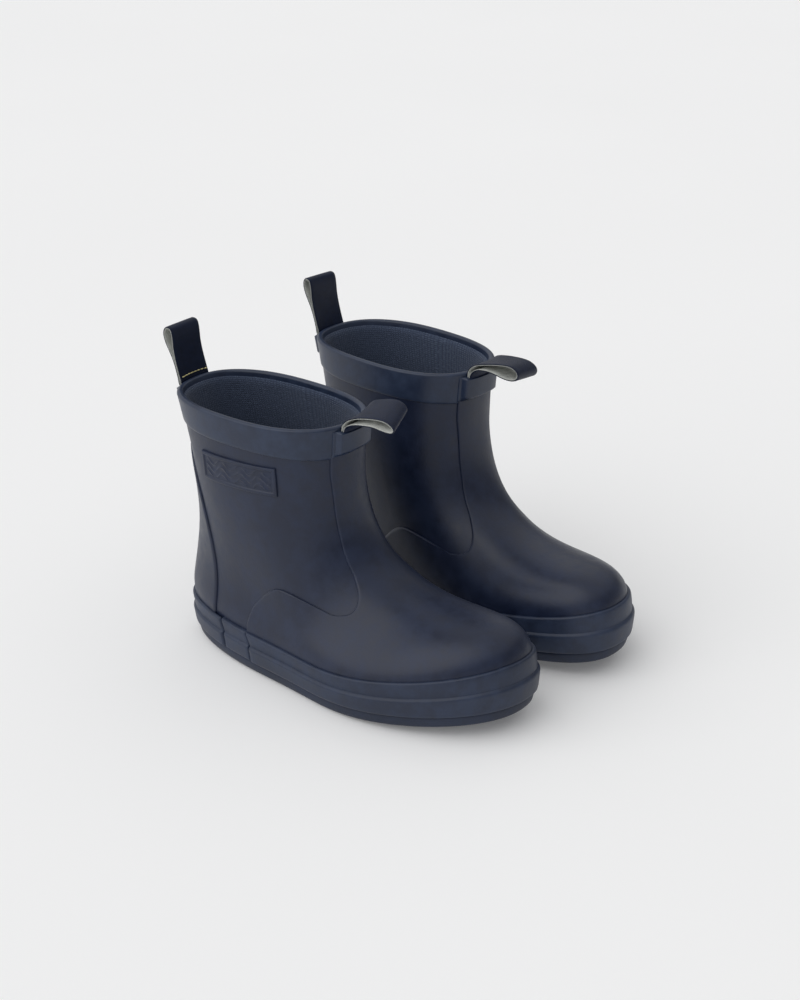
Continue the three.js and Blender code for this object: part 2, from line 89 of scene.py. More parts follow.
# side outlines as (x, z): the vamp's edge from the collar round the lobe and the wing, with the
# depth that each point's ruling reaches on the centre line, and the heel counter's edge
VAMP_EDGE = np.array([
    [87.8, 107, 0.065], [87.6, 95, 0.12], [89.3, 79, 0.2], [92.4, 67.7, 0.27],
    [96, 60, 0.325], [101, 53, 0.38], [104.5, 48, 0.43], [106, 44, 0.475],
    [105, 41.3, 0.51], [102, 40, 0.545], [97, 39.6, 0.585], [91, 41, 0.625],
    [84, 42.6, 0.665], [76, 44, 0.71], [69.5, 44, 0.755], [64, 41, 0.8],
    [59, 36, 0.84], [55, 31, 0.88], [53, 24, 0.92], [52.8, 16, 0.96], [52.8, 6.2, 0.995],
])
COUNTER_EDGE = np.array([
    [9.2, 93.2], [11, 92], [15.5, 84], [20.5, 74], [24, 64], [26.5, 54], [28.3, 44],
    [29.5, 34], [30.3, 26], [30.4, 16], [30.4, 6.2],
])

joints = {joint["name"]: joint for joint in frame["record"]["behaviour"]["joints"]}
SIDES = ("right", "left")


# ---- the boot's surface ----
def lift(x, z):
    """Toe spring: the 1.6 power of the way from its start to the toe, fading out up the foot."""
    along = np.clip((x - SPRING_START) / 75, 0, 1.2) ** 1.6
    return TOE_SPRING * along * np.clip(1 - (z - 12) / 70, 0, 1)


def surface(angle, depth):
    """Superellipse sections blended down the stations by a uniform cubic B-spline, with each
    section tilted by the squared cosine of the angle and lifted by the toe spring."""
    angle, depth = np.broadcast_arrays(np.asarray(angle, float), np.asarray(depth, float))
    last = len(STATIONS) - 1
    place_in = np.clip(depth * last, 0, last - 1e-9)
    first = place_in.astype(int)
    u = (place_in - first)[..., None]
    rows = np.vstack([2 * STATIONS[0] - STATIONS[1], STATIONS, 2 * STATIONS[-1] - STATIONS[-2]])
    weights = ((1 - u) ** 3, 3 * u ** 3 - 6 * u ** 2 + 4, -3 * u ** 3 + 3 * u ** 2 + 3 * u + 1, u ** 3)
    blended = sum(weight * rows[first + k] for k, weight in enumerate(weights)) / 6
    back, front, outer, inner, z_back, z_side, z_front, corner, foot = np.moveaxis(blended, -1, 0)
    cosine, sine = np.cos(angle), np.sin(angle)
    power = 2 / corner
    along = (1 + np.sign(cosine) * np.abs(cosine) ** power) / 2
    across = np.sign(sine) * np.abs(sine) ** power
    inwards = sine > 0
    heel = np.where(inwards, 0.82, 0.78)
    widening = np.sin(np.minimum(along / 0.74, 1) * np.pi / 2) ** 2
    waist = np.where(inwards, 0.07, 0.09) * np.exp(-(((along - 0.42) / 0.18) ** 2))
    taper = (heel + (1 - heel) * widening) * (1 - waist)
    inswing = TOE_INSWING * np.maximum((along - 0.45) / 0.55, 0) ** 2
    x = back + (front - back) * along
    y = np.where(inwards, inner, outer) * across * (1 - foot + foot * taper) + foot * inswing
    z = z_side + (np.where(cosine > 0, z_front, z_back) - z_side) * cosine ** 2
    return np.stack([x, y, z + lift(x, z)], -1)


def unit(vectors):
    """Vectors divided by their lengths."""
    return vectors / (np.linalg.norm(vectors, axis=-1, keepdims=True) + 1e-12)


def normals(angle, depth):
    """Outward normal: the cross product of the steps down and around the surface."""
    step = 0.012
    around = surface(angle + step, depth) - surface(angle - step, depth)
    down = surface(angle, np.minimum(depth + step, 1)) - surface(angle, np.maximum(depth - step, 0))
    return unit(np.cross(down, around))


def layer(angle, depth, offset):
    """Surface point moved out along its normal."""
    angle, depth, offset = np.broadcast_arrays(angle, depth, offset)
    return surface(angle, depth) + normals(angle, depth) * offset[..., None]


def foxing_top(x):
    """Height of the foxing's top edge: level at the heel, then rising with the square of the way to
    the toe, on top of the toe spring."""
    return 19.3 + 5.2 * np.clip(x / 175 * 2.13 - 1.1, 0, 1) ** 2 + lift(x, 0 * x)


def foxing_depth(angle):
    """Depth where the surface meets the top of the foxing, by repeated halving."""
    above, below = np.full(angle.shape, 0.3), np.ones(angle.shape)
    for _ in range(26):
        middle = (above + below) / 2
        point = surface(angle, middle)
        higher = point[..., 2] > foxing_top(point[..., 0])
        above, below = np.where(higher, middle, above), np.where(higher, below, middle)
    return above


def curve_through(points, steps):
    """Catmull-Rom curve through the points, a cubic blend of each four in a row."""
    ends = np.vstack([2 * points[0] - points[1], points, 2 * points[-1] - points[-2]])
    t = np.linspace(0, 1, steps, endpoint=False)[:, None]
    parts = []
    for a, b, c, d in zip(ends, ends[1:], ends[2:], ends[3:]):
        square, cube = 2 * a - 5 * b + 4 * c - d, 3 * b - a - 3 * c + d
        parts.append(0.5 * (2 * b + (c - a) * t + square * t ** 2 + cube * t ** 3))
    return np.vstack([*parts, points[-1:]])


def trace_side(points, inwards):
    """Angle and depth of points given in side view: nearest of a fine lattice, then Newton steps."""
    sign = 1 if inwards else -1
    around, down = np.linspace(0.001, np.pi - 0.001, 181), np.linspace(0, 1, 201)
    turns, depths = np.meshgrid(around, down, indexing="ij")
    lattice = surface(sign * turns, depths)[..., [0, 2]].reshape(-1, 2)
    nearest = ((points[:, None] - lattice[None]) ** 2).sum(-1).argmin(1)
    angle, depth = sign * turns.ravel()[nearest], depths.ravel()[nearest]
    step = 1e-4
    for _ in range(5):
        here = surface(angle, depth)[..., [0, 2]]
        by_angle = (surface(angle + step, depth)[..., [0, 2]] - here) / step
        by_depth = (surface(angle, depth + step)[..., [0, 2]] - here) / step
        miss = points - here
        area = by_angle[:, 0] * by_depth[:, 1] - by_angle[:, 1] * by_depth[:, 0]
        area = np.where(np.abs(area) < 1, 1e9, area)
        turn = (miss[:, 0] * by_depth[:, 1] - miss[:, 1] * by_depth[:, 0]) / area
        sink = (by_angle[:, 0] * miss[:, 1] - by_angle[:, 1] * miss[:, 0]) / area
        angle = angle + np.clip(turn, -0.02, 0.02)
        depth = np.clip(depth + np.clip(sink, -0.01, 0.01), 0, 1)
    return angle, depth


# ---- meshes ----
def place(points, side):
    """Boot frame in millimetres to the pair's frame in metres, set by the two loop hinges, which
    lie on the boot's centre line; the left boot is mirrored."""
    hinges = (joints[f"{side}_{end}_loop_flex"]["pos_m"][:2] for end in ("front", "rear"))
    front, rear = (np.array(hinge) * 1000 for hinge in hinges)
    forward = unit(front - rear)
    towards = np.array([-forward[1], forward[0]]) * (1 if side == "right" else -1)
    flat = rear + (points[..., :1] - REAR_HINGE) * forward + points[..., 1:2] * towards
    return np.concatenate([flat, points[..., 2:]], -1) / 1000


def mesh_object(name, points, quads, side, uv=None):
    """Mesh of quads whose faces are turned outwards by the sign of its volume; uv is in
    millimetres, one for each face corner."""
    verts = place(points.reshape(-1, 3), side)
    a, b, c, d = (verts[quads[:, k]] for k in range(4))
    volume = (np.cross(a, b) * c).sum() + (np.cross(a, c) * d).sum()
    if volume < 0:
        quads = quads[:, ::-1]
        uv = None if uv is None else uv[:, ::-1]
    mesh = bpy.data.meshes.new(name)
    mesh.vertices.add(len(verts))
    mesh.vertices.foreach_set("co", verts.astype(np.float32).ravel())
    mesh.loops.add(quads.size)
    mesh.loops.foreach_set("vertex_index", quads.astype(np.int32).ravel())
    mesh.polygons.add(len(quads))
    mesh.polygons.foreach_set("loop_start", np.arange(0, quads.size, 4, dtype=np.int32))
    mesh.update(calc_edges=True)
    if uv is not None:
        mesh.uv_layers.new(name="UVMap").data.foreach_set("uv", uv.astype(np.float32).ravel())
    mesh.polygons.foreach_set("use_smooth", np.ones(len(quads), bool))
    mesh.set_sharp_from_angle(angle=math.radians(42))
    mesh.validate()
    piece = bpy.data.objects.new(name, mesh)
    bpy.context.scene.collection.objects.link(piece)
    return piece


def tube_quads(rows, count, ring):
    """Quads of a run of closed sections, capped by pairing each point with its mirror in the
    section, or closed into a ring."""
    i, j = np.meshgrid(np.arange(rows if ring else rows - 1), np.arange(count), indexing="ij")
    corners = [(i, j), (i + 1, j), (i + 1, j + 1), (i, j + 1)]
    quads = np.stack([(a % rows) * count + b % count for a, b in corners], -1).reshape(-1, 4)
    spots = np.stack([np.stack([a, b], -1) for a, b in corners], -2).reshape(-1, 4, 2)
    if not ring:
        k = np.arange(count // 2 - 1)
        for row, turn in ((0, 1), (rows - 1, -1)):
            cap = np.stack([k, k + 1, count - 2 - k, count - 1 - k], -1)[:, ::turn]
            quads = np.vstack([quads, row * count + cap])
            spots = np.vstack([spots, np.stack([np.full(cap.shape, row), cap], -1)])
    return quads, spots


def tube(name, sections, side, ring=False, uv=None):
    """Closed piece through sections[i, j]. uv[i, j] has one more row and column than a ring."""
    rows, count = sections.shape[:2]
    quads, spots = tube_quads(rows, count, ring)
    corner_uv = None if uv is None else uv[spots[..., 0], spots[..., 1]]
    return mesh_object(name, sections, quads, side, corner_uv)


def finish_piece(piece, body, material, slot, *nodes):
    """Gives a piece its material and its body, and hides the nodes that it stands for."""
    piece.data.materials.append(material)
    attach(piece, body)
    if nodes:
        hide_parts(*nodes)
    return piece


# ---- materials ----
def linear(hex_colour, alpha=1.0):
    """sRGB hex to linear light."""
    values = [int(hex_colour[k:k + 2], 16) / 255 for k in (1, 3, 5)]
    return tuple(v / 12.92 if v <= 0.04045 else ((v + 0.055) / 1.055) ** 2.4 for v in values) + (alpha,)


def add_node(material, kind, inputs=None, **settings):
    """Adds one node: inputs maps a socket's name or number to a value or to another socket."""
    tree = material.node_tree
    node = tree.nodes.new(kind)
    for key, value in settings.items():
        setattr(node, key, value)
    for key, value in (inputs or {}).items():
        if isinstance(value, bpy.types.NodeSocket):
            tree.links.new(value, node.inputs[key])
        else:
            node.inputs[key].default_value = value
    return node


def new_material(name):
    """Empty node material."""
    material = bpy.data.materials.new(name)
    material.use_nodes = True
    material.node_tree.nodes.clear()
    return material


def maths(material, operation, *values):
    """Result of one sum on numbers or sockets."""
    return add_node(material, "ShaderNodeMath", dict(enumerate(values)), operation=operation).outputs[0]


def noise(material, where, scale, detail=2, **more):
    """Fractal noise, scale being its patches to the unit."""
    inputs = {"Vector": where, "Scale": scale, "Detail": detail, **more}
    return add_node(material, "ShaderNodeTexNoise", inputs).outputs[0]


def spread_out(material, value, low, high, **more):
    """Stretches the range from low to high over 0 to 1, or over To Min to To Max."""
    inputs = {"Value": value, "From Min": low, "From Max": high, **more}
    return add_node(material, "ShaderNodeMapRange", inputs).outputs[0]


def mix_colours(material, share, low, high):
    """Colour between low and high, each a hex colour or a socket."""
    low, high = (linear(c) if isinstance(c, str) else c for c in (low, high))
    return add_node(material, "ShaderNodeMix", {0: share, 6: low, 7: high}, data_type="RGBA").outputs[2]


def relief(material, height, strength, **more):
    """Bump of a height."""
    inputs = {"Strength": strength, "Height": height, **more}
    return add_node(material, "ShaderNodeBump", inputs).outputs[0]


def close_material(material, colour, roughness, normal, **shader):
    """Principled shader and output; the other values are set on the shader itself."""
    inputs = {"Base Color": colour, "Roughness": roughness, "Normal": normal, **shader}
    bsdf = add_node(material, "ShaderNodeBsdfPrincipled", inputs)
    add_node(material, "ShaderNodeOutputMaterial", {"Surface": bsdf.outputs[0]})
    return material


def moulded_rubber(name, deep, light, roughness, grain):
    """Moulded natural rubber: a satin skin from the mould, a bloom of paler patches about 25 mm
    across, and a fine grain of 0.8 mm that breaks the highlight."""
    material = new_material(name)
    place_in = add_node(material, "ShaderNodeTexCoord").outputs["Object"]
    bloom = noise(material, place_in, 40, 4, Roughness=0.55)
    smear = noise(material, place_in, 160, 3, Roughness=0.6)
    patches = spread_out(material, maths(material, "MULTIPLY", bloom, smear), 0.14, 0.36)
    colour = mix_colours(material, patches, deep, light)
    skin = noise(material, place_in, 1250)
    dimple = noise(material, place_in, 210, 3)
    height = maths(material, "MULTIPLY_ADD", skin, grain, dimple)
    bump = relief(material, height, 0.16, Distance=0.0004)
    worn = {"To Min": roughness - 0.05, "To Max": roughness + 0.07}
    rough = spread_out(material, smear, 0.3, 0.7, **worn)
    return close_material(material, colour, rough, bump, IOR=1.46)


def knit_lining():
    """Fine cotton knit: wales 1.3 mm apart, each a column of V-shaped loops 1 mm tall, with paler
    flecks of undyed fibre. UVs are in millimetres."""
    material = new_material("cotton_knit")
    uv = add_node(material, "ShaderNodeUVMap", uv_map="UVMap").outputs[0]
    split = add_node(material, "ShaderNodeSeparateXYZ", {0: uv})
    part = maths(material, "FRACT", maths(material, "DIVIDE", split.outputs[0], 1.3))
    arm = maths(material, "ABSOLUTE", maths(material, "SUBTRACT", part, 0.5))
    course = maths(material, "FRACT", maths(material, "MULTIPLY_ADD", arm, 1.1, split.outputs[1]))
    loop = maths(material, "SINE", maths(material, "MULTIPLY", course, math.pi))
    rib = maths(material, "SINE", maths(material, "MULTIPLY", arm, math.pi))
    height = maths(material, "MULTIPLY", loop, rib)
    fleck = spread_out(material, noise(material, uv, 1.1, 3, Roughness=0.7), 0.5, 0.74)
    # Loop tops are lighter and the hollows between the loops darker: painted shade that follows the knit's
    # relief.
    painted_loop_shade = mix_colours(material, height, "#2E384C", "#3D4960")
    colour = mix_colours(material, fleck, painted_loop_shade, "#525D72")
    bump = relief(material, height, 0.6, Distance=0.0004)
    sheen = {"Sheen Weight": 0.1, "Sheen Roughness": 0.5}
    return close_material(material, colour, 0.95, bump, **sheen)


def woven(name, deep, light, roughness, thread, depth, **shader):
    """Plain-woven webbing: warp and weft threads cross one over the other in a chequer; thread is
    their spacing in millimetres and UVs are in millimetres."""
    material = new_material(name)
    uv = add_node(material, "ShaderNodeUVMap", uv_map="UVMap").outputs[0]
    chequer = add_node(material, "ShaderNodeTexChecker", {"Vector": uv, "Scale": 1 / thread})
    split = add_node(material, "ShaderNodeSeparateXYZ", {0: uv})
    humps = []
    for axis in (0, 1):
        turn = maths(material, "MULTIPLY", split.outputs[axis], math.pi / thread)
        humps.append(maths(material, "ABSOLUTE", maths(material, "SINE", turn)))
    crossing = {0: chequer.outputs["Fac"], 2: humps[0], 3: humps[1]}
    over = add_node(material, "ShaderNodeMix", crossing, data_type="FLOAT").outputs[0]
    cloud = noise(material, uv, 0.35, 4)
    # Raised threads are lighter and the hollows between them darker, which is painted shade following the
    # weave's relief, mixed with a random cloud of tone.
    painted_thread_shade_and_cloud = maths(material, "MULTIPLY_ADD", over, 0.45, cloud)
    colour = mix_colours(material, spread_out(material, painted_thread_shade_and_cloud, 0.35, 1.0), deep, light)
    bump = relief(material, over, depth, Distance=0.0002)
    return close_material(material, colour, roughness, bump, **shader)


def pressed_felt(name, deep, light):
    """Pressed fibre: matted strands about 0.5 mm across with cloudy tone."""
    material = new_material(name)
    place_in = add_node(material, "ShaderNodeTexCoord").outputs["Object"]
    strands = noise(material, place_in, 1900, 4, Distortion=1.5)
    tone = maths(material, "MULTIPLY", strands, noise(material, place_in, 90, 3))
    colour = mix_colours(material, spread_out(material, tone, 0.12, 0.4), deep, light)
    bump = relief(material, strands, 0.5, Distance=0.0003)
    return close_material(material, colour, 0.95, bump, **{"Sheen Weight": 0.25})


def spun_thread():
    """Pale polyester sewing thread: two plies that twist every 0.8 mm."""
    material = new_material("polyester_thread")
    place_in = add_node(material, "ShaderNodeTexCoord").outputs["Object"]
    plies = {"Vector": place_in, "Scale": 400, "Distortion": 1}
    twist = add_node(material, "ShaderNodeTexWave", plies, bands_direction="DIAGONAL").outputs["Fac"]
    # The colour follows the twist: the grooves between the plies are darker, which is painted shade.
    colour = mix_colours(material, twist, "#B9AE74", "#E6DDA4")
    return close_material(material, colour, 0.6, relief(material, twist, 0.4, Distance=0.0001))


upper_rubber = moulded_rubber("moulded_rubber_upper", "#151D32", "#1B253D", 0.4, 0.5)
rim_rubber = moulded_rubber("moulded_rubber_collar", "#1E283D", "#27334A", 0.38, 0.5)
foxing_rubber = moulded_rubber("calendered_rubber_foxing", "#1E273B", "#273249", 0.46, 0.8)
sole_rubber = moulded_rubber("vulcanised_rubber_sole", "#192236", "#222C42", 0.54, 1.4)
lining_knit = knit_lining()
strap_coating = woven("coated_webbing_navy", "#0A1122", "#121D36", 0.5, 0.45, 0.2,
                      IOR=1.4, **{"Specular IOR Level": 0.35})
strap_back = woven("cotton_webbing_cream", "#A3A6A2", "#CDCFCA", 0.9, 0.6, 0.7,
                   **{"Sheen Weight": 0.2})
felt = pressed_felt("felt_footbed", "#1B2233", "#343D52")
fibreboard = pressed_felt("fibreboard_insole", "#6E675A", "#8C8474")
thread = spun_thread()

WALL = np.linspace(0, 1, 90)
RING = np.linspace(0, 2 * np.pi, 176, endpoint=False)


# ---- pieces of one boot ----
def raise_to(points, floor):
    """Lifts points to a floor that follows the toe spring."""
    points[..., 2] = np.maximum(points[..., 2], floor + lift(points[..., 0], 0 * points[..., 0]))
    return points


def shell(side):
    """Outer and inner offsets of the whole surface, closed at the rim and the sole line."""
    angle = RING[:, None]
    outer = layer(angle, WALL[None], 0.0)
    inner = layer(angle, WALL[None, ::-1], -SHELL_THICKNESS)
    piece = tube(f"{side}_rubber_shell", raise_to(np.concatenate([outer, inner], 1), SOLE_LINE), side, ring=True)
    return finish_piece(piece, f"{side}_boot", upper_rubber, "upper_rubber", f"{side}_upper_shell")


def lining(side):
    """Two offsets inside the shell with a slow swell of 0.15 mm where the knit isn't glued flat;
    the top edge rounds out from the collar. UVs are the mean girth and the depth, in millimetres."""
    closed = np.append(RING, 2 * np.pi)
    top = [0.011, 0.012, 0.014, 0.017, 0.021, 0.026, 0.032]
    depth = np.concatenate([top, np.linspace(0.04, 0.97, 78)])
    swell = 0.15 * np.sin(5 * closed)[:, None] * np.sin(19 * depth)[None]
    swell = swell + 0.08 * np.sin(11 * closed + 1)[:, None]
    hem = rounded((depth - depth[0])[None], -1.82, LINING_OFFSETS[1], 0.02) + swell
    facing = layer(closed[:, None], depth[None, ::-1], hem[:, ::-1])
    backing = layer(closed[:, None], depth[None], LINING_OFFSETS[0])
    sections = raise_to(np.concatenate([backing, facing], 1), 8.9)
    girth = closed / (2 * np.pi) * 230
    height = np.concatenate([depth, depth[::-1]]) * 165
    height = np.append(height, height[0])
    uv = np.stack(np.broadcast_arrays(girth[:, None], height[None]), -1)
    piece = tube(f"{side}_knit_lining", sections[:-1], side, ring=True, uv=uv)
    return finish_piece(piece, f"{side}_boot", lining_knit, "knit_lining", f"{side}_lining")


def collar(side):
    """Band around the rim whose profile climbs the outside, rolls over the top in a half ellipse
    and ends 3 mm down inside; each profile point has a depth, a height above the rim and an offset."""
    roll = np.linspace(0, np.pi, 13)
    outside = [(0.0755, 0, 0.05), (0.0752, 0, 0.35), (0.0742, 0, 0.56), (0.072, 0, 0.68), (0.066, 0, 0.74),
               (0.05, 0, 0.74), (0.03, 0, 0.75), (0.012, 0, 0.77)]
    over = [(0, 1.05 * math.sin(a), -0.6 + 1.4 * math.cos(a)) for a in roll]
    inside = [(0.008, 0, -2.02), (0.016, 0, -2.05), (0.022, 0, -2.0), (0.0235, 0, -1.85)]
    back = [(0.0235, 0, -1.68), (0.022, 0, -1.66), (0.016, 0, -1.65), (0.008, 0, -1.65)]
    under = [(0, 0.12 * math.sin(a), -0.8 + 0.85 * math.cos(a)) for a in roll[::-1]]
    down = [(0.012, 0, 0.05), (0.03, 0, 0.05), (0.05, 0, 0.05), (0.066, 0, 0.04), (0.072, 0, 0.04),
            (0.0742, 0, 0.04), (0.0752, 0, 0.04), (0.0755, 0, 0.04)]
    profile = np.array(outside + over + inside + back + under + down)
    depth, rise, offset = profile[:, 0][None], profile[:, 1][None], profile[:, 2][None]
    angle = RING[:, None]
    up = unit(surface(angle, 0.0 * depth) - surface(angle, 0.0 * depth + 0.01))
    points = layer(angle, depth, offset) + up * rise[..., None]
    piece = tube(f"{side}_rolled_collar", points, side, ring=True)
    return finish_piece(piece, f"{side}_boot", rim_rubber, "upper_rubber", f"{side}_collar_band")


BORDER = np.array([0, 0.05, 0.14, 0.28, 0.48, 0.74, 1.0, 1.5, 2.6])  # columns near an overlay's edge


def rounded(distance, low, high, width):
    """Quarter of an ellipse from low at the edge to high one width in."""
    share = np.clip(distance / width, 0, 1)
    return low + (high - low) * np.sqrt(np.maximum(1 - (1 - share) ** 2, 0))


def overlay_half(edge_angle, edge_depth, centre_angle, centre_depth, inner_columns):
    """Rulings from the edge curve to the centre line: the angle runs evenly and the depth eases
    out, with columns crowded towards the edge. Gives angle, depth and distance from the edge."""
    centre = surface(centre_angle + 0 * edge_angle, centre_depth)
    length = np.linalg.norm(surface(edge_angle, edge_depth) - centre, axis=-1)
    crowd = np.minimum(BORDER[None] / length[:, None], np.linspace(0, 0.6, len(BORDER))[None])
    rest = np.linspace(0, 1, inner_columns + 1)[None, 1:]
    share = np.concatenate([crowd, crowd[:, -1:] + (1 - crowd[:, -1:]) * rest], 1)
    angle = edge_angle[:, None] + (centre_angle - edge_angle)[:, None] * share
    depth = edge_depth[:, None] + (centre_depth - edge_depth)[:, None] * (1 - (1 - share) ** 2)
    return angle, depth, share * length[:, None]


def overlay(name, side, halves, node):
    """Sheet over the shell whose edge rounds down to it; the halves meet on the centre line."""
    (angle_a, depth_a, far_a), (angle_b, depth_b, far_b) = halves
    angle = np.concatenate([angle_a, angle_b[:, -2::-1]], 1)
    depth = np.concatenate([depth_a, depth_b[:, -2::-1]], 1)
    far = np.concatenate([far_a, far_b[:, -2::-1]], 1)
    outer = layer(angle, depth, rounded(far, 0.1, OVERLAY_RISE, EDGE_ROUND))
    inner = layer(angle, depth, 0.04)[:, ::-1]
    piece = tube(name, raise_to(np.concatenate([outer, inner], 1), SOLE_LINE + 0.05), side)
    return finish_piece(piece, f"{side}_boot", upper_rubber, "upper_rubber", node)


def vamp(side):
    """Overlay from the collar down the front, round a lobe over the ankle and back in a wing."""
    traced = curve_through(VAMP_EDGE, 9)
    halves = []
    for inwards in (False, True):
        angle, depth = trace_side(traced[:, :2], inwards)
        halves.append(overlay_half(angle, depth, 0.0, traced[:, 2], 24))
    return overlay(f"{side}_vamp", side, halves, f"{side}_vamp_overlay")


def heel_counter(side):
    """Tongue-shaped overlay up the back."""
    traced = curve_through(COUNTER_EDGE, 10)
    halves = []
    for inwards in (True, False):
        angle, depth = trace_side(traced, inwards)
        turn = 1 if inwards else -1
        angle[0] = turn * np.radians(179)
        angle = turn * np.minimum(np.abs(angle), np.radians(179))
        halves.append(overlay_half(angle, depth, turn * np.pi, depth, 10))
    (angle_b, depth_b, far_b) = halves[1]
    halves[1] = (angle_b + 2 * np.pi, depth_b, far_b)
    return overlay(f"{side}_counter", side, halves, f"{side}_heel_counter")


def foxing(side, name, node, start, end, base, tier, ridge):
    """Strip around the foot of the upper: an upper tier, a rounded step half-way down, and a
    lower tier that tucks in at the sole. Its ends round down over 0.8 mm."""
    start, end = math.radians(start), math.radians(end)
    girth = np.linalg.norm(np.diff(surface(np.linspace(start, end, 60), 0.95), axis=0), axis=1).sum()
    near = np.array([0, 0.05, 0.15, 0.32, 0.55, 0.8]) / girth
    middle = np.linspace(near[-1], 1 - near[-1], max(int(girth / 1.6), 8))[1:-1]
    share = np.concatenate([near, middle, 1 - near[::-1]])
    angle = start + (end - start) * share
    down = np.array([0, 0.004, 0.014, 0.03, 0.055, 0.09, 0.2, 0.33, 0.43, 0.455, 0.47, 0.49,
                     0.515, 0.545, 0.58, 0.64, 0.78, 0.9, 0.945, 0.975, 0.992, 1])
    lip = base + (tier - base) * np.array([0.05, 0.4, 0.68, 0.86, 0.96, 1, 1.03, 1.07, 1.1, 1.12])
    bulge = np.array([0.42, 0.72, 0.92, 1, 1, 0.98, 0.9, 0.82, 0.74, 0.56, 0.3, -0.1])
    lower = tier + (ridge - tier) * bulge
    rise = np.concatenate([lip, lower])
    ends = rounded(np.minimum(share, 1 - share) * girth, 0, 1, 0.8)
    offset = base + (rise[None] - base) * ends[:, None]
    top = foxing_depth(angle)[:, None]
    depth = top + (1 - top) * down[None]
    outer = layer(angle[:, None], depth, offset)
    inner = layer(angle[:, None], depth, base - 0.03)[:, ::-1]
    piece = tube(name, raise_to(np.concatenate([outer, inner], 1), SOLE_LINE), side)
    return finish_piece(piece, f"{side}_boot", foxing_rubber, "foxing_rubber", node)


def sole_outline(offset, z, count):
    """Ring round the sole at an offset from the foot of the upper, on the toe-spring curve."""
    angle = np.linspace(0, 2 * np.pi, count, endpoint=False)
    ring = layer(angle, np.ones(count), offset)
    ring[:, 2] = z + lift(ring[:, 0], 0 * ring[:, 0])
    return ring


def cut_out(piece, cutter):
    """Cuts one closed mesh out of another and keeps the result as plain mesh."""
    cut = piece.modifiers.new("cut", "BOOLEAN")
    cut.operation, cut.object, cut.solver = "DIFFERENCE", cutter, "EXACT"
    evaluated = piece.evaluated_get(bpy.context.evaluated_depsgraph_get())
    mesh = bpy.data.meshes.new_from_object(evaluated)
    piece.modifiers.clear()
    piece.data = mesh
    bpy.data.objects.remove(cutter)
    return piece


def outsole(side):
    """Slab with a rounded wall, cut from below by a row of grooves under heel and forefoot whose
    sides slope like a mould's."""
    wall = [(0, -0.7), (0.15, 0.1), (0.5, 0.75), (1.2, 1.25), (2.4, 1.6), (4.2, 1.95), (4.9, 1.95),
            (5.3, 1.75), (5.5, 1.3)]  # height, and offset from the foot of the upper
    count = 192
    rings = np.stack([sole_outline(offset, z, count) for z, offset in wall])
    half = count // 2
    layers, around = np.meshgrid(np.arange(len(wall) - 1), np.arange(count), indexing="ij")
    following = (around + 1) % count
    corners = [layers * count + around, layers * count + following,
               (layers + 1) * count + following, (layers + 1) * count + around]
    side_quads = np.stack(corners, -1).reshape(-1, 4)
    k = np.arange(1, half - 1)
    caps = []
    faces = (0, (len(wall) - 1) * count)
    for base, turn in zip(faces, (1, -1)):
        strips = np.stack([base + k, base + count - k, base + count - k - 1, base + k + 1], -1)
        caps.append(strips[:, ::turn])
    quads = np.vstack([side_quads, *caps])
    piece = mesh_object(f"{side}_sole", rings, quads, side)
    ends = [(base, base + count - 1, base + 1) for base in faces]
    ends += [(base + half, base + half - 1, base + half + 1) for base in faces]
    fill_triangles(piece, ends)
    grooves = [groove_prism(x) for x in [*(18 + 7 * np.arange(6)), *(84 + 7 * np.arange(11))]]
    points = np.concatenate(grooves)
    box = np.array([[0, 1, 3, 2], [4, 6, 7, 5], [0, 4, 5, 1],
                    [2, 3, 7, 6], [0, 2, 6, 4], [1, 5, 7, 3]])
    boxes = np.vstack([box + 8 * n for n in range(len(grooves))])
    cutter = mesh_object(f"{side}_grooves", points, boxes, side)
    cut_out(piece, cutter)
    piece.data.set_sharp_from_angle(angle=math.radians(35))
    return finish_piece(piece, f"{side}_boot", sole_rubber, "sole_rubber", f"{side}_outsole")


def fill_triangles(piece, triangles):
    """Adds the small end triangles that a strip of quads leaves, and turns all faces outwards."""
    work = bmesh.new()
    work.from_mesh(piece.data)
    work.verts.ensure_lookup_table()
    for triangle in triangles:
        work.faces.new([work.verts[k] for k in triangle]).smooth = True
    bmesh.ops.recalc_face_normals(work, faces=work.faces)
    work.to_mesh(piece.data)
    work.free()


def groove_prism(x):
    """Tapered bar across the sole, 2.4 mm wide at the ground and 2 mm deep, square to the sole."""
    ring = sole_outline(0.0, 0, 720)
    half = len(ring) // 2
    inner = np.interp(x, ring[:half, 0][::-1], ring[:half, 1][::-1]) - 4.5
    outer = np.interp(x, ring[half:, 0], ring[half:, 1]) + 4.5
    slope = math.atan((lift(x + 1, 0) - lift(x - 1, 0)) / 2)
    cosine, sine = math.cos(slope), math.sin(slope)
    corners = []
    for up, width in ((-2, 1.7), (2, 0.85)):
        for along in (-width, width):
            for y in (outer, inner):
                corners.append([x + along * cosine - up * sine, y, lift(x, 0) + along * sine + up * cosine])
    return np.array(corners)


def footbed(side):
    """Pad across the inside of the lining whose top dishes towards the middle."""
    count = 120
    ring = sole_outline(LINING_OFFSETS[1] - 0.5, 0, 2 * count)
    near, far = ring[1:count], ring[:count:-1]
    across = np.linspace(0, 1, 25)
    flat = near[:, None] * (1 - across[None, :, None]) + far[:, None] * across[None, :, None]
    edge = np.abs(2 * across - 1)[None]
    row = np.arange(count - 1)
    ends = np.clip(np.minimum(row, row[::-1]) / 6, 0, 1)[:, None]
    dish = 1.3 * np.maximum(edge ** 5, 1 - ends)
    top, bottom = flat.copy(), flat[:, ::-1].copy()
    top[..., 2] += 13.4 + dish - 0.5 * (edge > 0.99)
    bottom[..., 2] += 10.4
    piece = tube(f"{side}_felt_footbed", np.concatenate([top, bottom], 1), side)
    return finish_piece(piece, f"{side}_boot", felt, "footbed_felt", f"{side}_footbed")


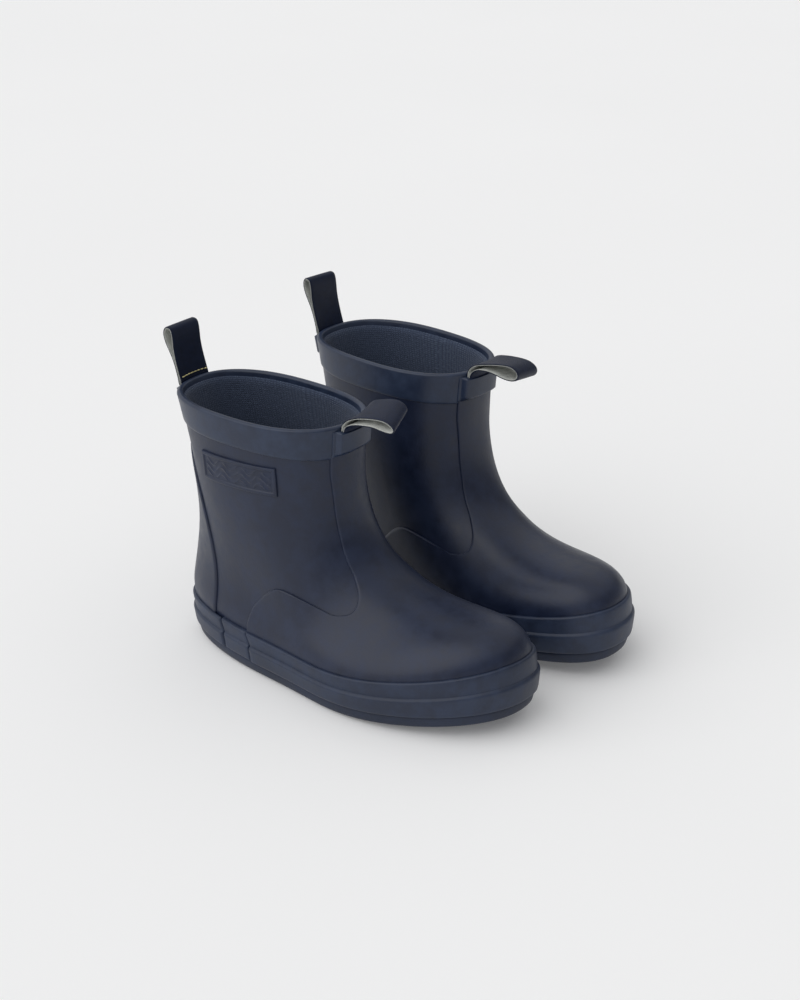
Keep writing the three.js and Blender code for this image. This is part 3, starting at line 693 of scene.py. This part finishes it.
# ---- pull loops ----
# Each loop's side outline, out and up from its root: up behind the patch, out along one leg,
# round the end and back along the other. roll lifts the edge nearer the other boot, in
# degrees at the tip, and skew shortens that edge.
CLIMB = [(-1.0, -9.5), (-1.0, -5.5), (-0.95, -1.8)]
FALL = [(0.2, -2.4), (0.1, -5.5), (0.1, -9.5)]
LEAN = math.radians(12)
NEAR_LEG = [(1.5, 0.5), (5, 0.42), (9, 0.45), (13, 0.8), (17, 1.35), (20.5, 1.65), (22.6, 1.1)]
FAR_LEG = [(23.3, -1.0), (22.2, -2.6), (20, -3.3), (17, -3.0), (13.5, -1.9), (10, -1.0),
           (6, -0.55), (1.5, -0.5)]


def rear_outline(bulge):
    """Teardrop that leans back; bulge scales how far its legs stand apart."""
    legs = NEAR_LEG + FAR_LEG
    cosine, sine = math.cos(LEAN), math.sin(LEAN)
    return [(a * sine - b * bulge * cosine, a * cosine + b * bulge * sine) for a, b in legs]


LOOPS = {
    ("right", "front"): dict(roll=10, skew=6, outline=[
        (-0.5, 0.8), (1.1, 3.4), (4.8, 5.9), (9.3, 7.4), (14, 8.4), (17.5, 8.6), (20.6, 7.8), (22.2, 6.1),
        (21.1, 4.7), (17.5, 4.2), (11.4, 4.3), (6.1, 3.2), (2.5, 1.5), (0.7, -0.4)]),
    ("left", "front"): dict(roll=9, skew=-2.4, outline=[
        (-0.5, 0.8), (0.9, 2.8), (3.5, 4.3), (7.5, 5.4), (12, 6.3), (17.2, 6.9), (21, 6.7), (23.7, 5.3),
        (24.4, 3.5), (23.2, 1.7), (20.3, 0.9), (16.2, 1.2), (11.3, 2.3), (7, 2.6), (3.2, 1.9), (1, 0)]),
    ("right", "rear"): dict(roll=0, skew=0, outline=rear_outline(0.95)),
    ("left", "rear"): dict(roll=2, skew=0, outline=rear_outline(0.85)),
}
ROOT = np.array([2.6, 1.5])  # a loop's root, out from the shell's rim and up from it


def loop_path(side, end):
    """Middle line of a loop's webbing: up behind the patch, round the loop and down again."""
    return curve_through(np.array(CLIMB + LOOPS[side, end]["outline"] + FALL) + ROOT, 9)


def loop_end(end):
    """An end of the boot: the way it faces along x, its angle, and the middle of its rim."""
    face, angle = (1, 0.0) if end == "front" else (-1, np.pi)
    return face, angle, surface(angle, 0.0)


def rim_profile(end):
    """How far the wall falls back from its middle: at each distance across the boot, and at each
    height from the rim."""
    face, centre, _ = loop_end(end)
    turn = np.linspace(-0.6, 0.6, 61) + centre
    wall = surface(turn, 0.02)
    order = np.argsort(wall[:, 1])
    back = (wall[:, 0] - wall[30, 0]) * face
    down = surface(centre, np.linspace(0.12, 0, 30))
    return wall[order, 1], back[order], down[:, 2] - down[-1, 2], (down[:, 0] - down[-1, 0]) * face


def bend_with_loop(piece, side, end):
    """Bakes the piece's placement into its mesh; the points at STRAP_GRIP and STRAP_FREE are worked out but not
    used, so the piece doesn't bend."""
    face, _, rim = loop_end(end)
    lean = math.radians(10) if end == "front" else math.pi / 2 - LEAN
    tip = np.array([math.cos(lean), math.sin(lean)])
    ends = [rim[[0, 2]] + (ROOT + tip * far) * [face, 1] for far in (STRAP_GRIP, STRAP_FREE)]
    start, stop = (place(np.array([p[0], rim[1], p[1]]), side) for p in ends)
    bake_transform(piece)


def finish_webbing(piece, side, end, material, *nodes):
    """Gives webbing or its stitches their material, hides the nodes that they stand for, and bakes their
    placement into the mesh.
    """
    piece.data.materials.append(material)
    if nodes:
        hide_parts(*nodes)
    bend_with_loop(piece, side, end)
    return piece


def strap_layer(side, end, name, low, high, material, nodes):
    """Ribbon along the loop's path between two offsets, rounded at its selvedges. It hugs the rim
    at its root, flattens within 14 mm, and rolls and skews in step with its distance out."""
    path = loop_path(side, end)
    tangent = unit(np.gradient(path, axis=0))
    outward = np.stack([-tangent[:, 1], tangent[:, 0]], -1)
    half = STRAP_WIDTH / 2
    edge = np.array([0.28, 0.55, 0.8, 0.95, 0.985, 1])
    across = np.concatenate([-edge[::-1], [0], edge]) * half
    thin = np.sqrt(np.clip((half - np.abs(across)) / 0.35, 0.15, 1))
    middle = (low + high) / 2
    front, back = middle + (high - middle) * thin, middle + (low - middle) * thin
    offsets = np.concatenate([front, back[::-1]])
    y = np.concatenate([across, across[::-1]])
    flat = path[:, None] + outward[:, None] * offsets[None, :, None]
    reach = np.linalg.norm(np.maximum(path - ROOT, 0), axis=1)
    hug = (1 - 0.9 * np.clip(reach / 14, 0, 1))[:, None]
    wall_y, wall_back, wall_z, wall_in = rim_profile(end)
    loop = LOOPS[side, end]
    skew = loop["skew"] * (y / STRAP_WIDTH)[None] * np.clip(reach / 9, 0, 1)[:, None]
    roll = math.radians(loop["roll"]) * np.clip(reach / 22, 0, 1)[:, None]
    out = flat[..., 0] + hug * np.interp(y, wall_y, wall_back)[None] - skew
    out = out + np.interp(flat[..., 1], wall_z, wall_in)
    up = flat[..., 1] + y[None] * np.sin(roll)
    face, _, rim = loop_end(end)
    sections = np.stack([rim[0] + face * out, rim[1] + y[None] * np.cos(roll), rim[2] + up], -1)
    distance = np.concatenate([[0], np.cumsum(np.linalg.norm(np.diff(path, axis=0), axis=1))])
    wide = np.append(y, y[0]) + half
    uv = np.stack(np.broadcast_arrays(wide[None], distance[:, None]), -1)
    return finish_webbing(tube(name, sections, side, uv=uv), side, end, material, *nodes)


def loop_patch(side, end):
    """Rubber pad moulded over the loop's root: a raised middle with sloping shoulders and a foot
    that runs down to the band."""
    _, centre, _ = loop_end(end)
    turn = np.linspace(-0.75, 0.75, 121) + centre
    wall = surface(turn, 0.04)
    order = np.argsort(wall[:, 1])
    edge = np.array([10.9, 11.1, 11.2])
    y = np.concatenate([-edge[::-1], np.linspace(-10.6, 10.6, 45), edge])
    angle = np.interp(y, wall[order, 1], turn[order])[:, None]
    top, low = [0.004, 0.0043, 0.0052, 0.0068], [0.067, 0.069, 0.07]
    depth = np.concatenate([top, np.linspace(0.01, 0.064, 18), low])[None]
    shoulder = 0.5 + 0.5 * np.cos(np.pi * np.clip((np.abs(y) - 8.7) / 1.6, 0, 1))[:, None]
    foot = 0.5 + 0.5 * np.cos(np.pi * np.clip((depth - 0.056) / 0.012, 0, 1))
    lip = rounded(depth - 0.004, 0.3, 1, 0.0035)
    side_lip = rounded(11.2 - np.abs(y), 0, 1, 0.5)[:, None]
    low_lip = rounded(0.07 - depth, 0, 1, 0.004)
    height = 0.76 + (0.6 + 2.5 * shoulder * foot) * lip * side_lip * low_lip
    outer = layer(angle, depth, height)
    inner = layer(angle, depth, 0.74 + 0.0 * height)[:, ::-1]
    piece = tube(f"{side}_{end}_patch", np.concatenate([outer, inner], 1), side)
    return finish_piece(piece, f"{side}_boot", rim_rubber, "upper_rubber", f"{side}_{end}_loop_patch")


def stitch_row(side, end):
    """Row of short capsule stitches across the strap's root, each a stretched ball."""
    count, half_row, half_length, radius, height = 8, 6.9, 0.95, 0.26, 2.9
    u = np.linspace(0, 2 * np.pi, 10, endpoint=False)[:, None]
    v = np.linspace(-np.pi / 2 + 0.15, np.pi / 2 - 0.15, 9)[None]
    wall_y, wall_back, _, _ = rim_profile(end)
    face, _, rim = loop_end(end)
    pieces, quads_all = [], []
    quads, _ = tube_quads(9, 10, False)
    for n in range(count):
        y = -half_row + 2 * half_row * n / (count - 1)
        out = ROOT[0] - 1.62 + np.interp(y, wall_y, wall_back)
        ball = np.stack([
            rim[0] + face * (out + radius * np.cos(v) * np.cos(u)),
            rim[1] + y + half_length * np.sin(v) + 0 * u,
            rim[2] + height + radius * np.cos(v) * np.sin(u),
        ], -1)
        pieces.append(np.moveaxis(ball, 1, 0).reshape(-1, 3))
        quads_all.append(quads + 90 * n)
    points, faces = np.concatenate(pieces), np.vstack(quads_all)
    return finish_webbing(mesh_object(f"{side}_{end}_stitches", points, faces, side), side, end, thread)


def badge(side):
    """Plate on the outer side: a raised frame around a field of plain waves. The plate's own
    length and height are laid on the surface by a cubic fit to traced points."""
    length, height, frame_width, tilt = 41, 12.8, 1.3, math.radians(2.5)
    columns, rows = np.linspace(0, length, 9), np.linspace(-height / 2, height / 2, 5)
    a, b = np.meshgrid(columns, rows, indexing="ij")
    cosine, sine = math.cos(tilt), math.sin(tilt)
    spot = np.stack([28.5 + a * cosine - b * sine, 91.8 + a * sine + b * cosine], -1)
    angle, depth = trace_side(spot.reshape(-1, 2), False)

    def terms(p, q):
        """The powers of p and q that the fit weighs."""
        powers = [np.ones_like(p), p, q, p * p, p * q, q * q, p ** 3, p * p * q, p * q * q]
        return np.stack(powers, -1)

    fit_angle = np.linalg.lstsq(terms(a.ravel(), b.ravel()), angle, rcond=None)[0]
    fit_depth = np.linalg.lstsq(terms(a.ravel(), b.ravel()), depth, rcond=None)[0]
    near = np.array([0, 0.08, 0.22, 0.4])
    along, tall = (np.concatenate([near, np.linspace(0.6, span - 0.6, steps), span - near[::-1]])
                   for span, steps in ((length, 200), (height, 62)))
    tall = tall - height / 2
    p, q = np.meshgrid(along, tall, indexing="ij")
    edge = np.minimum(np.minimum(p, length - p), height / 2 - np.abs(q))
    rim = rounded(edge, 0.1, 1.1, 0.45) - 0.5 * np.clip((edge - frame_width) / 0.4, 0, 1)
    wave = 1.5 * np.sin((p / length) * 2 * np.pi * 4)
    lines = ((0, 0.75), (3.2, 0.6), (-3.2, 0.6))
    crest = sum(np.exp(-(((q - wave - rise) / width) ** 2)) for rise, width in lines)
    field = np.clip((edge - frame_width - 0.8) / 0.7, 0, 1)
    rise = rim + 0.36 * crest * field
    outer = layer(terms(p, q) @ fit_angle, terms(p, q) @ fit_depth, rise)
    inner = layer(terms(p, q) @ fit_angle, terms(p, q) @ fit_depth, 0.03)[:, ::-1]
    piece = tube(f"{side}_side_badge", np.concatenate([outer, inner], 1), side)
    return finish_piece(piece, f"{side}_boot", upper_rubber, "upper_rubber", f"{side}_badge")


def make_boot(side):
    """All the pieces of one boot, with the midsole and the insole board kept as they are."""
    shell(side)
    lining(side)
    collar(side)
    vamp(side)
    heel_counter(side)
    over, gap = OVERLAY_RISE + 0.05, 0.15  # height of a foxing on an overlay, half a seam in degrees
    front, heel = FRONT_FOXING, HEEL_FOXING
    strips = (
        ("toe_foxing", "front_foxing", -front + gap, front - gap, over, 2.3, 3.7),
        ("heel_strip", "heel_foxing", heel + gap, 360 - heel - gap, over, 2.3, 3.5),
        ("inner_waist_strip", "inner_waist_foxing", front + gap, heel - gap, 0.1, 1.9, 3.05),
        ("outer_waist_strip", "outer_waist_foxing", -heel + gap, -front - gap, 0.1, 1.9, 3.05),
    )
    for name, node, *shape in strips:
        foxing(side, f"{side}_{name}", f"{side}_{node}", *shape)
    outsole(side)
    footbed(side)
    badge(side)
    for end in ("front", "rear"):
        strap = f"{side}_{end}_strap"
        nodes = (f"{side}_{end}_loop", f"{side}_{end}_loop_tail")
        strap_layer(side, end, strap, 0.0, STRAP_OUTER, strap_coating, nodes)
        strap_layer(side, end, f"{strap}_back", -STRAP_INNER, -0.02, strap_back, ())
        loop_patch(side, end)
    if side == "right":  # the left boot's seam is taken to sit behind its rim
        stitch_row(side, "rear")
    for node, material in ((f"{side}_midsole", sole_rubber), (f"{side}_insole_board", fibreboard)):
        shown = frame["nodes"][node]
        shown.data.materials.clear()
        shown.data.materials.append(material)


for side in SIDES:
    make_boot(side)


# ---- floor, light and camera ----
def backdrop_paint():
    """Matt white acrylic of a light table, glowing faintly, with a mottling 0.3 m across."""
    material = new_material("matt_light_table")
    place_in = add_node(material, "ShaderNodeTexCoord").outputs["Object"]
    mottle = noise(material, place_in, 3)
    colour = mix_colours(material, mottle, "#ECECEC", "#EFEFEF")
    glow = {"Emission Color": linear("#FFFFFF"), "Emission Strength": 0.1}
    return close_material(material, colour, 0.9, relief(material, mottle, 0.02), **glow)


def studio_floor():
    """Square of floor 16 m wide, 0.3 mm under the soles."""
    mesh = bpy.data.meshes.new("studio_floor")
    reach, level = 8.0, -0.0003
    corners = [(x * reach, y * reach, level) for x, y in ((-1, -1), (1, -1), (1, 1), (-1, 1))]
    mesh.from_pydata(corners, [], [(0, 1, 2, 3)])
    mesh.materials.append(backdrop_paint())
    floor = bpy.data.objects.new("studio_floor", mesh)
    bpy.context.scene.collection.objects.link(floor)


def soft_sun(name, towards, spread, strength):
    """Even light from one part of the sky: spread is the angle that its source fills."""
    light = bpy.data.lights.new(name, "SUN")
    light.energy, light.angle = strength, math.radians(spread)
    lamp = bpy.data.objects.new(name, light)
    lamp.rotation_mode = "QUATERNION"
    lamp.rotation_quaternion = Vector(towards).to_track_quat("Z", "Y")
    lamp.location = Vector(towards)
    bpy.context.scene.collection.objects.link(lamp)


def studio_camera():
    """Camera 0.85 m from a point beside the right boot, 52 degrees round from its toe and 24.5
    degrees above the floor."""
    turn, rise = math.radians(52), math.radians(24.52)
    back = Vector((-math.sin(turn) * math.cos(rise), -math.cos(turn) * math.cos(rise), math.sin(rise)))
    right = Vector((math.cos(turn), -math.sin(turn), 0))
    up = back.cross(right)
    target = Vector(place(np.array([90.0, -20.0, 70.0]), "right"))
    data = bpy.data.cameras.new("studio_camera")
    data.lens, data.sensor_width = 72.96, 36
    camera = bpy.data.objects.new("studio_camera", data)
    camera.location = target + back * 0.85 + right * 0.03258 + up * 0.01787
    camera.rotation_mode = "QUATERNION"
    camera.rotation_quaternion = Matrix((right, up, back)).transposed().to_quaternion()
    bpy.context.scene.collection.objects.link(camera)
    bpy.context.scene.camera = camera


studio_floor()
soft_sun("window", (-0.85, 0.35, 0.95), 75, 1.15)
soft_sun("overhead", (-0.1, 0.4, 1.0), 140, 1.3)
world = bpy.data.worlds.new("studio_air")
world.use_nodes = True
air = world.node_tree.nodes["Background"].inputs
air[0].default_value = linear("#F4F5F7")
air[1].default_value = 0.27
bpy.context.scene.world = world
bpy.context.scene.view_settings.view_transform = "Standard"
studio_camera()
